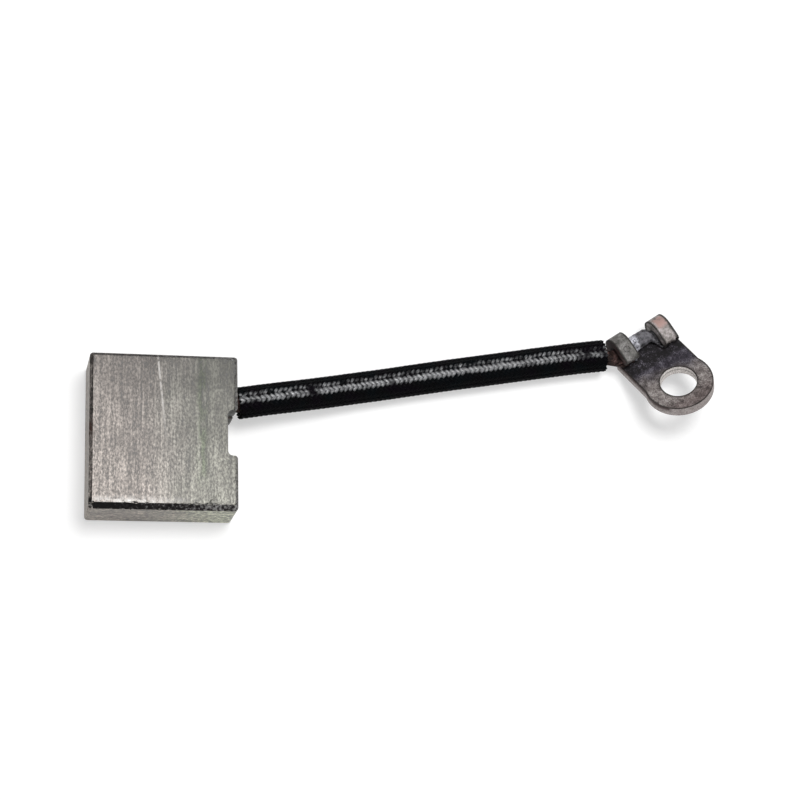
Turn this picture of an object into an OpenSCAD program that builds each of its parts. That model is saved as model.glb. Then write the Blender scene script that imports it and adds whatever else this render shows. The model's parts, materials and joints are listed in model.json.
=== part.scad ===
// Carbon brush for an electric motor: a copper-graphite block, a flexible copper
// lead tamped into its end, a braided sleeve over the lead and a flag ring terminal.
// Millimetres. The block lies on its broad face on Z = 0, centred on the origin.
// Its contact face looks to -X and the lead leaves its +X end.

/* [Block] */
// Length of the block, from the contact face to the lead end
block_len = 20; // [14:0.5:32]
// Width of the block
block_w = 21.5; // [18:0.5:30]
// Thickness of the block
block_t = 8; // [6.5:0.1:12]
// Radius of the block's upright corners
corner_r = 0.5; // [0.2:0.1:1.5]
// Bevel along the top edge at the front, the widest of the four
front_bevel = 0.75; // [0.3:0.05:1.2]
// Bevel along the other three top edges
top_bevel = 0.45; // [0.2:0.05:1]
// Bevel along the bottom edges
foot_bevel = 0.25; // [0.1:0.05:0.6]

/* [Spring notch] */
// Width of the notch that the pressure spring's finger sits in
notch_w = 6.4; // [3:0.1:6.8]
// Depth of the notch into the lead end
notch_depth = 1.4; // [0.8:0.1:3]
// Radius in the notch's inner corners
notch_root_r = 0.7; // [0.2:0.1:0.8]
// Radius on the notch's two lips
notch_lip_r = 0.4; // [0.1:0.1:0.6]

/* [Lead hole] */
// Distance of the lead hole from the block's centreline
lead_y = 5.2; // [4.6:0.1:7]
// Diameter of the lead hole
hole_d = 4.2; // [3.6:0.1:4.6]
// Depth of the lead hole
hole_depth = 11.5; // [8:0.5:12.5]
// Powder left under the end of the lead in the hole
plug_floor = 1.2; // [0.5:0.1:3]
// How far the tamped powder stays below the mouth of the hole
plug_recess = 0.4; // [0.1:0.1:1.5]

/* [Lead and sleeve] */
// Diameter of the stranded copper lead
lead_d = 2.7; // [2:0.1:2.8]
// Wall of the braided sleeve
sleeve_wall = 0.65; // [0.4:0.05:1]

/* [Terminal] */
// Thickness of the terminal's sheet
sheet_t = 1.5; // [0.8:0.1:1.8]
// Outside diameter of the ring
ring_d = 10; // [9.7:0.1:13]
// Diameter of the hole for the stud
stud_hole_d = 5.3; // [4.3:0.1:6.5]
// Width of the tongue, which is the length of the crimp barrel too
tongue_w = 9.5; // [8:0.1:9.6]
// Distance from the hole's centre to the inside of the folded ears
barrel_reach = 9.8; // [9:0.1:12]
// Width of each crimp ear, along the lead
ear_w = 2.3; // [1.6:0.1:2.6]
// How far each ear stands in from the tongue's side edge
ear_inset = 0.3; // [0:0.1:0.6]
// Inside radius of the bend at an ear's root
ear_root_r = 1; // [0.8:0.1:1.2]
// Inside radius of the bend at an ear's crest
ear_crest_r = 0.7; // [0.5:0.05:0.8]
// Slope of the folded flaps down to the tongue, in degrees
flap_slope = 30; // [25:1:32]
// Inside height of the ear at the lead's entry
entry_ear_h = 2.1; // [1.8:0.05:2.4]
// Flap length of the ear at the lead's entry
entry_flap = 2.5; // [1.2:0.1:2.7]
// Inside height of the ear at the lead's end, which is crimped tighter
end_ear_h = 1.5; // [1.4:0.05:1.9]
// Flap length of the ear at the lead's end
end_flap = 2.5; // [1.2:0.1:2.5]
// How much further forward the tighter ear's wall stands
end_ear_set = 0.55; // [0:0.05:0.8]
// Width of the dimple on the flap at the lead's entry
dimple_d = 1; // [0.6:0.1:1.4]
// Depth of that dimple
dimple_depth = 0.15; // [0.05:0.05:0.3]
// Roll of the terminal about its barrel, in degrees, with the ring raised
terminal_roll = 30; // [0:1:40]

/* [Fits] */
// Gap between packed or tamped pieces
pack_gap = 0.02; // [0.01:0.01:0.05]
// Gap between the crimped strands and the terminal
crimp_gap = 0.05; // [0.03:0.01:0.1]
// Play of the sleeve round the lead
sleeve_gap = 0.25; // [0.15:0.05:0.5]
// Gap under what rests on the surface
rest_gap = 0.03; // [0.01:0.01:0.1]

/* [Hidden] */
$fn = 48;
// Overlap of shapes that are fused
eps = 0.01;
// How far a cut runs past what it cuts
over = 1;
// Sides of the swept tubes
lead_sides = 8;
sleeve_sides = 12;

exit_x = block_len / 2;
exit_z = block_t / 2;
sleeve_bore = lead_d + 2 * sleeve_gap;
sleeve_d = sleeve_bore + 2 * sleeve_wall;
sleeve_z = sleeve_d / 2 + 2 * rest_gap;

// Crimp barrel: its direction in plan and its rise from the lead's entry to the end
barrel_run = [7.7, 4.9, 0.9];
along = barrel_run / norm(barrel_run);
level = unit(cross([0, 0, 1], along));
upright = cross(along, level);
tongue_back = level * cos(terminal_roll) - upright * sin(terminal_roll);
tongue_up = level * sin(terminal_roll) + upright * cos(terminal_roll);
// Centre of the strands in the barrel, from the hole's centre and the tongue's top face
strand_back = barrel_reach - 0.8;
strand_up = 1.1;
// Height of the barrel at the lead's entry: the ear's root rests on the surface,
// unless its sheet is so thin that the sleeve carries it
ear_seat = (ear_root_r + sheet_t) * norm([tongue_back[2], tongue_up[2]])
         + (strand_back - barrel_reach + ear_root_r) * tongue_back[2]
         + (strand_up - ear_root_r) * tongue_up[2]
         - ear_inset * along[2];
barrel_z = max(rest_gap + ear_seat, sleeve_z);

// Height of the lead's centre as it comes down from its hole, from 1 at the hole to 0
function down(share) = sleeve_z + share * (exit_z - sleeve_z);
// Height of the lead's centre as it goes up to the barrel, from 0 to 1 at the barrel
function up(share) = sleeve_z + share * (barrel_z - sleeve_z);

// Route of the lead from the mouth of its hole: [away from the block, sideways, height].
// Straight out, down to the surface, along it, and into the barrel of the terminal
route = [
    [0, 0, down(1)],
    [0.5, 0.05, down(1)],
    [2, 0.3, down(1)],
    [5, 0.85, down(0.9)],
    [9, 1.55, down(0.7)],
    [13, 2.3, down(0.45)],
    [17, 3.1, down(0.2)],
    [21, 3.85, down(0.05)],
    [25, 4.6, down(0)],
    [30, 5.5, down(0)],
    [35, 6.35, down(0)],
    [40, 7.2, down(0)],
    [45, 8.05, down(0)],
    [50, 8.85, up(0.3)],
    [54, 9.4, up(0.7)]
];
barrel_entry = from_exit([55.6, 9.4, barrel_z]);

function unit(v) = v / norm(v);
function from_exit(p) = [exit_x + p[0], lead_y + p[1], p[2]];
function polar(r, a) = [r * cos(a), r * sin(a)];

// Direction of a path at one of its points
function heading(path, i) =
    i == 0 ? unit(path[1] - path[0])
    : i == len(path) - 1 ? unit(path[i] - path[i - 1])
    : unit(unit(path[i + 1] - path[i]) + unit(path[i] - path[i - 1]));

// A flat section, given as [back, up] points, set square across a path
function station(p, t, section) =
    let (side = unit(cross(tongue_up, t)), top = cross(t, side))
    [for (s = section) p + s[0] * side + s[1] * top];

function round_section(d, sides) =
    [for (i = [0:sides - 1]) polar(d / 2, 360 / sides * (i + 0.5))];

// Quads between ring a and ring b of the same size
function band(a, b, n) =
    [for (j = [0:n - 1]) [a + j, b + j, b + (j + 1) % n, a + (j + 1) % n]];

// Solid tube through rings of points
module swept_rod(rings) {
    n = len(rings[0]);
    last = (len(rings) - 1) * n;
    polyhedron(
        points = [for (r = rings) each r],
        faces = concat(
            [[for (j = [0:n - 1]) j]],
            [[for (j = [n - 1:-1:0]) last + j]],
            [for (i = [0:len(rings) - 2]) each band(i * n, (i + 1) * n, n)]
        )
    );
}

// Hollow tube between outer rings and inner rings
module swept_pipe(outer, inner) {
    n = len(outer[0]);
    m = len(outer);
    last = (m - 1) * n;
    skip = m * n;
    polyhedron(
        points = concat([for (r = outer) each r], [for (r = inner) each r]),
        faces = concat(
            [for (i = [0:m - 2]) each band(i * n, (i + 1) * n, n)],
            [for (i = [0:m - 2]) each band(skip + (i + 1) * n, skip + i * n, n)],
            band(skip, 0, n),
            band(last, skip + last, n)
        )
    );
}

// ---------------------------------------------------------------- block

// Plan of the block with rounded corners
module block_plan() {
    x = block_len / 2 - corner_r;
    y = block_w / 2 - corner_r;
    square([2 * x, block_w], center = true);
    square([block_len, 2 * y], center = true);
    for (sx = [-1, 1], sy = [-1, 1])
        translate([sx * x, sy * y])
            circle(r = corner_r);
}

// Plan of the notch, open to the lead end, with round roots and round lips
module notch_plan() {
    x = block_len / 2;
    y = notch_w / 2;
    root = notch_root_r;
    lip = notch_lip_r;
    translate([x - notch_depth + root, -y])
        square([notch_depth - root + over, notch_w]);
    translate([x - notch_depth, -y + root])
        square([root + eps, notch_w - 2 * root]);
    for (s = [-1, 1]) {
        translate([x - notch_depth + root, s * (y - root)])
            circle(r = root);
        difference() {
            translate([x - lip, s > 0 ? y - eps : -y - lip])
                square([lip + over, lip + eps]);
            translate([x - lip, s * (y + lip)])
                circle(r = lip);
        }
    }
}

// Bar of square section laid along an edge, which takes the edge off
module edge_bar(length, size) {
    rotate([45, 0, 0])
        cube([length, size * sqrt(2), size * sqrt(2)], center = true);
}

// The four edge bars of one face, the front one with a bevel of its own
module face_bevels(z, front, rest) {
    reach = 2 * max(block_len, block_w);
    translate([0, -block_w / 2, z])
        edge_bar(reach, front);
    translate([0, block_w / 2, z])
        edge_bar(reach, rest);
    for (s = [-1, 1])
        translate([s * block_len / 2, 0, z])
            rotate([0, 0, 90])
                edge_bar(reach, rest);
}

module carbon_block() {
    color([0.56, 0.55, 0.53])
    difference() {
        linear_extrude(block_t)
            block_plan();
        face_bevels(block_t, front_bevel, top_bevel);
        face_bevels(0, foot_bevel, foot_bevel);
        translate([0, 0, -over])
            linear_extrude(block_t + 2 * over)
                notch_plan();
        translate([exit_x - hole_depth, lead_y, exit_z])
            rotate([0, 90, 0])
                cylinder(d = hole_d, h = hole_depth + over);
    }
}

// Copper powder packed round the lead in its hole
module tamping_plug() {
    length = hole_depth - plug_recess - pack_gap;
    color([0.42, 0.30, 0.24])
    translate([exit_x - hole_depth + pack_gap, lead_y, exit_z])
        rotate([0, 90, 0])
            difference() {
                cylinder(d = hole_d - 2 * pack_gap, h = length);
                translate([0, 0, plug_floor])
                    cylinder(d = lead_d + 2 * pack_gap, h = length);
            }
}

// ---------------------------------------------------------------- terminal

// An ear is [wall, height]: how far back its inside wall stands, and its inside height
entry_ear = [barrel_reach, entry_ear_h];
end_ear = [barrel_reach - end_ear_set, end_ear_h];

function crest_centre(ear) = [ear[0] - ear_crest_r, ear[1] - ear_crest_r];
function root_r(ear) = min(ear_root_r, ear[1] - ear_crest_r);
function root_centre(ear) = [ear[0] - root_r(ear), root_r(ear)];

// Section of the strands squeezed into an ear, relative to the strand centre
function crimp_section(ear, flap) =
    let (
        crest = crest_centre(ear),
        root = root_centre(ear),
        crest_in = ear_crest_r - crimp_gap,
        root_in = root_r(ear) - crimp_gap,
        knee = crest + polar(crest_in, 90 + flap_slope),
        toe = knee + polar(flap - 2 * crimp_gap, 180 + flap_slope)
    )
    [for (p = [
        [ear[0] - crimp_gap, crest[1]],
        crest + polar(crest_in, 50),
        crest + polar(crest_in, 90),
        knee,
        toe,
        [toe[0] + crimp_gap, crimp_gap],
        root + polar(root_in, -90),
        root + polar(root_in, -35)
    ]) p - [strand_back, strand_up]];

// Slightly domed bundle between the ears
bulge_section = [for (s = round_section(lead_d, lead_sides)) [0.95 * s[0] - 0.1, 0.8 * s[1] + 0.1]];
free_section = round_section(lead_d, lead_sides);

// Ring and tongue, with the hole for the stud
module tongue() {
    root = root_centre(end_ear)[0];
    translate([0, 0, -sheet_t])
        linear_extrude(sheet_t)
            difference() {
                union() {
                    circle(d = ring_d);
                    translate([-tongue_w / 2, 0])
                        square([tongue_w, root]);
                }
                circle(d = stud_hole_d);
            }
}

// Part of a round band of the sheet, from angle a to angle b
module bend(centre, r, a, b) {
    reach = 2 * (r + sheet_t);
    translate(centre)
        intersection() {
            difference() {
                circle(r = r + sheet_t);
                circle(r = r);
            }
            polygon(concat([[0, 0]], [for (i = [0:4]) polar(reach, a + (b - a) * i / 4)]));
        }
}

// Side view of an ear: root bend, wall, crest bend and a flap with a rounded end.
// The crest bend is drawn in two parts that overlap
module ear_profile(ear, flap) {
    crest = crest_centre(ear);
    root = root_centre(ear);
    foot = root_centre(end_ear)[0] - over;
    nose = 0.4 * sheet_t;
    translate([foot, -sheet_t])
        square([root[0] - foot + eps, sheet_t]);
    bend(root, root_r(ear), -90, 0);
    translate([ear[0], root[1] - eps])
        square([sheet_t, crest[1] - root[1] + 2 * eps]);
    bend(crest, ear_crest_r, 0, 60);
    translate(crest)
        rotate(90 + flap_slope) {
            bend([0, 0], ear_crest_r, -60 - flap_slope, 0);
            translate([ear_crest_r, 0]) {
                square([sheet_t, flap - nose]);
                translate([nose, -nose])
                    square([sheet_t - 2 * nose, flap + nose]);
                for (x = [nose, sheet_t - nose])
                    translate([x, flap - nose])
                        circle(r = nose);
            }
        }
}

// Ear standing across the tongue, from x to x + ear_w
module ear(x, ear, flap) {
    translate([x, 0, 0])
        rotate([90, 0, 90])
            linear_extrude(ear_w)
                ear_profile(ear, flap);
}

// Bite marks of the crimping tool across the end of the tighter ear
module bite_marks() {
    crest = crest_centre(end_ear);
    bite_r = ear_w / 7;
    for (i = [-1:1])
        translate([tongue_w / 2 - ear_inset + (i / 3 - 0.5) * ear_w, crest[0], crest[1]])
            rotate([flap_slope - 180, 0, 0])
                translate([0, end_flap + bite_r / 4, -ear_crest_r - 3 * sheet_t])
                    cylinder(r = bite_r, h = 3.4 * sheet_t);
}

// Shallow dimple that the crimping tool leaves on the flap at the lead's entry
module flap_dimple() {
    ball_r = (dimple_d * dimple_d / 4 + dimple_depth * dimple_depth) / (2 * dimple_depth);
    translate([(ear_w - tongue_w) / 2 + ear_inset, 0, 0])
        rotate([90, 0, 90])
            translate(crest_centre(entry_ear))
                rotate(90 + flap_slope)
                    translate([ear_crest_r + sheet_t + ball_r - dimple_depth, dimple_d / 2 + 0.1, 0])
                        sphere(r = ball_r);
}

// The terminal in its own frame: hole at the origin, tongue towards +Y, barrel along X
module flat_terminal() {
    tongue();
    difference() {
        ear(-tongue_w / 2 + ear_inset, entry_ear, entry_flap);
        flap_dimple();
    }
    difference() {
        ear(tongue_w / 2 - ear_inset - ear_w, end_ear, end_flap);
        bite_marks();
    }
}

module ring_terminal() {
    color([0.58, 0.55, 0.56])
    translate(barrel_entry)
        rotate([-terminal_roll, -asin(along[2]), atan2(along[1], along[0])])
            translate([tongue_w / 2, -strand_back, -strand_up])
                flat_terminal();
}

// ---------------------------------------------------------------- lead

free_path = [for (p = route) from_exit(p)];
buried_end = [exit_x - hole_depth + plug_floor + 2 * pack_gap, lead_y, exit_z];
entry_crimp = crimp_section(entry_ear, entry_flap);
end_crimp = crimp_section(end_ear, end_flap);

// Length over which the strands swell out of a crimp, and how far they show past the last
swell = 0.9;
tail = 0.5;

// Where an ear starts and ends, from the tongue's edge beside it
ear_from = ear_inset;
ear_to = ear_inset + ear_w;

// Stations through the barrel: [distance from the entry, section]
crimp_stations = [
    [ear_from - 0.6, 0.5 * (free_section + entry_crimp)],
    [ear_from - crimp_gap, entry_crimp],
    [ear_to + 2 * crimp_gap, entry_crimp],
    [ear_to + swell, bulge_section],
    [tongue_w - ear_to - swell, bulge_section],
    [tongue_w - ear_to - 2 * crimp_gap, end_crimp],
    [tongue_w - ear_from + tail, end_crimp]
];

module copper_lead() {
    path = concat(
        [buried_end],
        free_path,
        [for (s = crimp_stations) barrel_entry + s[0] * along]
    );
    sections = concat(
        [free_section],
        [for (p = free_path) free_section],
        [for (s = crimp_stations) s[1]]
    );
    color([0.60, 0.34, 0.24])
    swept_rod([
        for (i = [0:len(path) - 1])
            let (t = i > len(free_path) ? along : heading(path, i))
            station(path[i], t, sections[i])
    ]);
}

module lead_sleeve() {
    path = [for (i = [1:len(route) - 1]) free_path[i]];
    outer = round_section(sleeve_d, sleeve_sides);
    inner = round_section(sleeve_bore, sleeve_sides);
    color([0.08, 0.08, 0.10])
    swept_pipe(
        [for (i = [0:len(path) - 1]) station(path[i], heading(path, i), outer)],
        [for (i = [0:len(path) - 1]) station(path[i], heading(path, i), inner)]
    );
}

carbon_block();
tamping_plug();
copper_lead();
lead_sleeve();
ring_terminal();
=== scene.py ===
"""Looks of the carbon brush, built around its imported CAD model. Blender 4.5, metres.

The camera and the lead come first, then the terminal, the block and the studio.
Lengths in mm are written as a number times MM; places inside materials are in mm.
"""

import json
import math
import random
from bisect import bisect_right

import bmesh
import bpy
from mathutils import Matrix, Vector, noise
from mathutils.bvhtree import BVHTree


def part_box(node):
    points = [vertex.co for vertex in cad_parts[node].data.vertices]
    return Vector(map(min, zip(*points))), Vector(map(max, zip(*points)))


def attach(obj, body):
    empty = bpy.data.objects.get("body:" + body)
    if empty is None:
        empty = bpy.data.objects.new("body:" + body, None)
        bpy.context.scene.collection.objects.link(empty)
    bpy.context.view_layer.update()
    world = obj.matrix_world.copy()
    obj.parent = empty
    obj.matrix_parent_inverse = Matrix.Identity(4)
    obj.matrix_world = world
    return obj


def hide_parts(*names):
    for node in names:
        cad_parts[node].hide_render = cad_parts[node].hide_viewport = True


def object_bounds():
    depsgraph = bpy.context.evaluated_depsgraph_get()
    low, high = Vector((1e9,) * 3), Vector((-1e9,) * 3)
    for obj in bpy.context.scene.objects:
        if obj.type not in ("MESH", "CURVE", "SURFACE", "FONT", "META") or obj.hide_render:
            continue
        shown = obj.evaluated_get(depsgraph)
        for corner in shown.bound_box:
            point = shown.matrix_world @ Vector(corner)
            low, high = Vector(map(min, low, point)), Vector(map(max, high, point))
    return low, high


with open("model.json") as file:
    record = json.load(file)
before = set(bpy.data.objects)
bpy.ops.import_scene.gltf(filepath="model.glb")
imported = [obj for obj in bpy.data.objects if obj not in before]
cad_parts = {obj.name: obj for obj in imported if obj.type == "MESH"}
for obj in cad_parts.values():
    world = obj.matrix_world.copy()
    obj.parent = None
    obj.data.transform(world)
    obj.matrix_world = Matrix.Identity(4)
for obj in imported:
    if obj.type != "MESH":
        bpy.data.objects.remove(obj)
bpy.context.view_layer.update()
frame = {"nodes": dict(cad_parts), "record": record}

MM = 0.001

# ---------------------------------------------------------------- camera

CAMERA_AT = Vector((-0.0307, -0.0768, 0.2904))
CAMERA_AIM = Vector((0.0334, 0.0065, 0.0040))
CAMERA_ROLL = math.radians(37.7)
CAMERA_LENS = 98.1


def link(obj):
    bpy.context.scene.collection.objects.link(obj)
    return obj


def add_camera():
    """The camera looks down on the brush from the left of its front, and is rolled."""
    data = bpy.data.cameras.new("camera")
    data.lens = CAMERA_LENS
    camera = link(bpy.data.objects.new("camera", data))
    turn = (CAMERA_AIM - CAMERA_AT).to_track_quat("-Z", "Y").to_matrix().to_4x4()
    roll = Matrix.Rotation(CAMERA_ROLL, 4, "Z")
    camera.matrix_world = Matrix.Translation(CAMERA_AT) @ turn @ roll
    bpy.context.scene.camera = camera


add_camera()

# ---------------------------------------------------------------- material helpers


def new_material(name):
    """An empty node material: its tree and its Principled shader."""
    material = bpy.data.materials.new(name)
    material.use_nodes = True
    tree = material.node_tree
    return material, tree, tree.nodes["Principled BSDF"]


def give(tree, socket, value):
    """Links a socket to an input, or sets the input to a value."""
    if isinstance(value, bpy.types.NodeSocket):
        tree.links.new(value, socket)
    else:
        socket.default_value = value


def node(tree, kind, inputs=(), **settings):
    """A node of that kind, with its inputs given by name or by number."""
    made = tree.nodes.new("ShaderNode" + kind)
    for key, value in settings.items():
        setattr(made, key, value)
    for key, value in dict(inputs).items():
        give(tree, made.inputs[key], value)
    return made


def feed(tree, shader, **inputs):
    """Sets inputs of a shader, named with _ for a space."""
    for key, value in inputs.items():
        give(tree, shader.inputs[key.replace("_", " ")], value)


def calc(tree, operation, *values):
    """A Math node's result."""
    return node(tree, "Math", enumerate(values), operation=operation).outputs[0]


def product(tree, first, *others):
    """All the factors multiplied."""
    for factor in others:
        first = calc(tree, "MULTIPLY", first, factor)
    return first


def weighted(tree, a, share, b):
    """A share of a and the rest of b."""
    return calc(tree, "ADD", product(tree, a, share), product(tree, b, 1 - share))


def span(tree, value, low, high):
    """0 where value is low, 1 where it is high, smooth between; low may be the greater."""
    inputs = {"Value": value, "From Min": low, "From Max": high}
    return node(tree, "MapRange", inputs, interpolation_type="SMOOTHSTEP").outputs[0]


def between(tree, value, rise, fall):
    """1 from the end of the rise to the start of the fall, 0 outside them."""
    return product(tree, span(tree, value, *rise), span(tree, value, *fall))


def grey(level):
    return (level, level, level, 1)


def colour(*rgb):
    return (*rgb, 1)


def mix(tree, share, a, b, blend="MIX"):
    """Colour a with b over it, by share."""
    made = node(tree, "Mix", data_type="RGBA", blend_type=blend)
    for index, value in ((0, share), (6, a), (7, b)):
        give(tree, made.inputs[index], value)
    return made.outputs[2]


def ramp(tree, value, *stops):
    """Colours by value. A stop is (position, colour)."""
    made = node(tree, "ValToRGB", {"Fac": value})
    bar = made.color_ramp
    while len(bar.elements) < len(stops):
        bar.elements.new(1)
    for element, (place, shade) in zip(bar.elements, stops):
        element.position = place
        element.color = shade
    return made.outputs["Color"]


def millimetres(tree, scale=(1, 1, 1)):
    """Place on the object in mm, stretched by scale."""
    place = node(tree, "TexCoord").outputs["Object"]
    inputs = {"Vector": place, "Scale": [s / MM for s in scale]}
    return node(tree, "Mapping", inputs).outputs[0]


def noisy(tree, vector, scale, detail=2, roughness=0.5):
    inputs = {"Vector": vector, "Scale": scale, "Detail": detail, "Roughness": roughness}
    return node(tree, "TexNoise", inputs).outputs["Fac"]


def bump(tree, height, distance, strength=1, normal=None):
    """Normal of a relief of that depth in metres, laid over another normal."""
    inputs = {"Height": height, "Distance": distance, "Strength": strength}
    if normal is not None:
        inputs["Normal"] = normal
    return node(tree, "Bump", inputs).outputs[0]


def dot(tree, a, b):
    return node(tree, "VectorMath", {0: a, 1: b}, operation="DOT_PRODUCT").outputs["Value"]


# ---------------------------------------------------------------- mesh helpers


def mesh_piece(name, points, faces, material, smooth=True, uvs=()):
    """A mesh object from points and faces; uvs are per face corner."""
    mesh = bpy.data.meshes.new(name)
    mesh.from_pydata(points, [], faces)
    if uvs:
        layer = mesh.uv_layers.new(name="UVMap")
        layer.data.foreach_set("uv", [x for uv in uvs for x in uv])
    if smooth:
        mesh.shade_smooth()
    else:
        mesh.shade_flat()
    mesh.materials.append(material)
    mesh.validate()
    return link(bpy.data.objects.new(name, mesh))


def curve_through(points, step):
    """Points about step apart on a smooth curve through the given ones."""
    path = [Vector(p) for p in points]
    path = [2 * path[0] - path[1], *path, 2 * path[-1] - path[-2]]
    made = []
    for a, b, c, d in zip(path, path[1:], path[2:], path[3:]):
        count = max(1, round((c - b).length / step))
        for i in range(count):
            t = i / count
            made.append(
                0.5 * (2 * b + (c - a) * t + (2 * a - 5 * b + 4 * c - d) * t ** 2
                       + (3 * b - a - 3 * c + d) * t ** 3)
            )
    return [*made, path[-2]]


def angles(count):
    return [2 * math.pi * i / count for i in range(count)]


def spoke(side, up, angle):
    """Direction at an angle that turns from side towards up."""
    return math.cos(angle) * side + math.sin(angle) * up


class Line:
    """A centreline with an upright frame at each point: along it, sideways and up."""

    SMOOTHED = 5  # points on each side that a frame is taken over

    def __init__(self, points, step):
        self.points = curve_through(points, step)
        self.run = [0.0]
        for a, b in zip(self.points, self.points[1:]):
            self.run.append(self.run[-1] + (b - a).length)
        self.length = self.run[-1]
        self.frames = []
        for i in range(len(self.points)):
            a = self.points[max(i - self.SMOOTHED, 0)]
            b = self.points[min(i + self.SMOOTHED, len(self.points) - 1)]
            along = (b - a).normalized()
            side = along.cross(Vector((0, 0, 1))).normalized()
            self.frames.append((along, side, side.cross(along)))

    def at(self, s):
        """Point and frame at distance s from the start."""
        s = min(max(s, 0.0), self.length)
        i = min(bisect_right(self.run, s), len(self.run) - 1) - 1
        t = (s - self.run[i]) / (self.run[i + 1] - self.run[i])
        point = self.points[i].lerp(self.points[i + 1], t)
        frames = zip(self.frames[i], self.frames[i + 1])
        return point, tuple(a.lerp(b, t).normalized() for a, b in frames)


class Tubes:
    """Collects the points, faces and UVs of many swept strips and tubes."""

    def __init__(self):
        self.points, self.faces, self.uvs, self.crowns = [], [], [], []

    def sweep(self, rings, lengths, shade=0.0, crowns=()):
        """A closed tube through rings of points. U runs round it, V along it in mm."""
        n, first = len(rings[0]), len(self.points)
        for ring in rings:
            self.points.extend(ring)
        for crown in crowns:
            self.crowns.extend([crown] * n)
        for i in range(len(rings) - 1):
            v0, v1 = lengths[i] / MM, lengths[i + 1] / MM
            for j in range(n):
                k = (j + 1) % n
                a, b = first + i * n, first + (i + 1) * n
                self.faces.append((a + j, a + k, b + k, b + j))
                u0, u1 = shade + j / n, shade + (j + 1) / n
                self.uvs.extend(((u0, v0), (u1, v0), (u1, v1), (u0, v1)))
        last = first + (len(rings) - 1) * n
        self.faces.append(tuple(first + j for j in reversed(range(n))))
        self.faces.append(tuple(last + j for j in range(n)))
        self.uvs.extend([(shade, 0.0)] * (2 * n))

    def piece(self, name, material):
        piece = mesh_piece(name, self.points, self.faces, material, uvs=self.uvs)
        if self.crowns:
            crown = piece.data.attributes.new("crown", "FLOAT", "POINT")
            crown.data.foreach_set("value", self.crowns)
        return piece


# ---------------------------------------------------------------- lead and sleeve

# Route of the lead, point for point as in the CAD model: straight out of the hole,
# down to the surface, along it, and up to the barrel of the terminal
LEAD_ROUTE = [
    (0.0100, 0.00520, 0.00400),
    (0.0105, 0.00525, 0.00400),
    (0.0120, 0.00550, 0.00400),
    (0.0150, 0.00605, 0.00383),
    (0.0190, 0.00675, 0.00349),
    (0.0230, 0.00750, 0.00307),
    (0.0270, 0.00830, 0.00265),
    (0.0310, 0.00905, 0.00239),
    (0.0350, 0.00980, 0.00231),
    (0.0400, 0.01070, 0.00231),
    (0.0450, 0.01155, 0.00231),
    (0.0500, 0.01240, 0.00231),
    (0.0550, 0.01325, 0.00231),
    (0.0600, 0.01405, 0.00236),
    (0.0640, 0.01460, 0.00243),
]
BARREL_ENTRY = Vector((0.0656, 0.0146, 0.002475))
BARREL_RUN = Vector((0.0077, 0.0049, 0.0009))

SLEEVE_D = 4.5 * MM
SLEEVE_BORE = 3.2 * MM
SLEEVE_START = 0.55 * MM
SLEEVE_FLARE = 1.04
SLEEVE_STEP = 0.25 * MM

LINER_SIDES = 24
LINER_STEP = 0.8 * MM
LINER_SHORT = 0.2 * MM  # how far it ends before the route does
LINER_DEPTH = 1.75  # how far in from the sleeve's outside, in yarn thicknesses

CARRIERS = 20  # yarns each way
BRAID_LAY = 14.0 * MM
CROSSING = BRAID_LAY / (2 * CARRIERS)
RINGS_A_CROSSING = 3.5
YARN_W = 0.46 * MM
YARN_T = 0.20 * MM
YARN_PLIES = 2
YARN_LIFT = 0.42 * YARN_T  # how far it goes over and under the others
CROWN_DIP = 0.045  # how much lower a yarn counts where it goes under another
WANDER_EVERY = 4 * MM
WANDER_OUT = 0.03 * MM
WANDER_ANGLE = 0.05
LOOSE_END = 0.12  # how unevenly the yarns end, in mm


def sleeve_material():
    """Black varnished yarn: where it lies up, a glossy band in patches, partly dusty grey, partly
    a painted highlight.
    """
    material, tree, shader = new_material("black_sleeve_yarn")
    uv = node(tree, "UVMap").outputs[0]
    parts = node(tree, "SeparateXYZ", {"Vector": uv})
    across = product(tree, parts.outputs["X"], 46)
    slow = product(tree, parts.outputs["Y"], 0.35)
    fibre_place = node(tree, "CombineXYZ", {"X": across, "Y": slow}).outputs[0]
    fibre = noisy(tree, fibre_place, 1.0, detail=3, roughness=0.6)
    place = millimetres(tree)
    patch = noisy(tree, place, 0.35, detail=3)
    cluster = noisy(tree, place, 1.1, detail=3, roughness=0.6)
    tint = ramp(
        tree, patch,
        (0.36, colour(0.0044, 0.0034, 0.0052)),
        (0.50, colour(0.0040, 0.0040, 0.0045)),
        (0.64, colour(0.0034, 0.0046, 0.0056)),
    )
    crown = node(tree, "Attribute", attribute_name="crown").outputs["Fac"]
    crown = calc(tree, "MULTIPLY_ADD", cluster, 0.22, crown)
    # Where the yarns lie up: more gloss, and a pale colour, partly dusty grey, partly a painted
    # highlight
    shine = product(tree, span(tree, crown, 1.005, 1.110), span(tree, patch, 0.30, 0.52))
    dust_and_highlight = product(tree, shine, span(tree, fibre, 0.38, 0.58), 0.9)
    feed(
        tree, shader,
        Base_Color=mix(tree, dust_and_highlight, tint, colour(0.40, 0.405, 0.42)),
        Roughness=span(tree, fibre, 0.95, -0.35),
        IOR=1.4,
        Specular_IOR_Level=calc(tree, "MULTIPLY_ADD", shine, 1.2, 0.03),
        Normal=bump(tree, fibre, 0.03 * MM, 0.6),
    )
    return material


def liner_material():
    """The inner wall of the sleeve, seen only between the yarns and at its ends."""
    material, tree, shader = new_material("sleeve_liner")
    grain = noisy(tree, millimetres(tree), 9)
    dark = ramp(tree, grain, (0.3, grey(0.003)), (0.8, grey(0.012)))
    relief = bump(tree, grain, 0.03 * MM)
    feed(tree, shader, Base_Color=dark, Roughness=0.8, Normal=relief)
    return material


def flare(share):
    """How much wider the sleeve is, from 1 at the block to its loose end."""
    return 1 + (SLEEVE_FLARE - 1) * share ** 1.5


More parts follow.
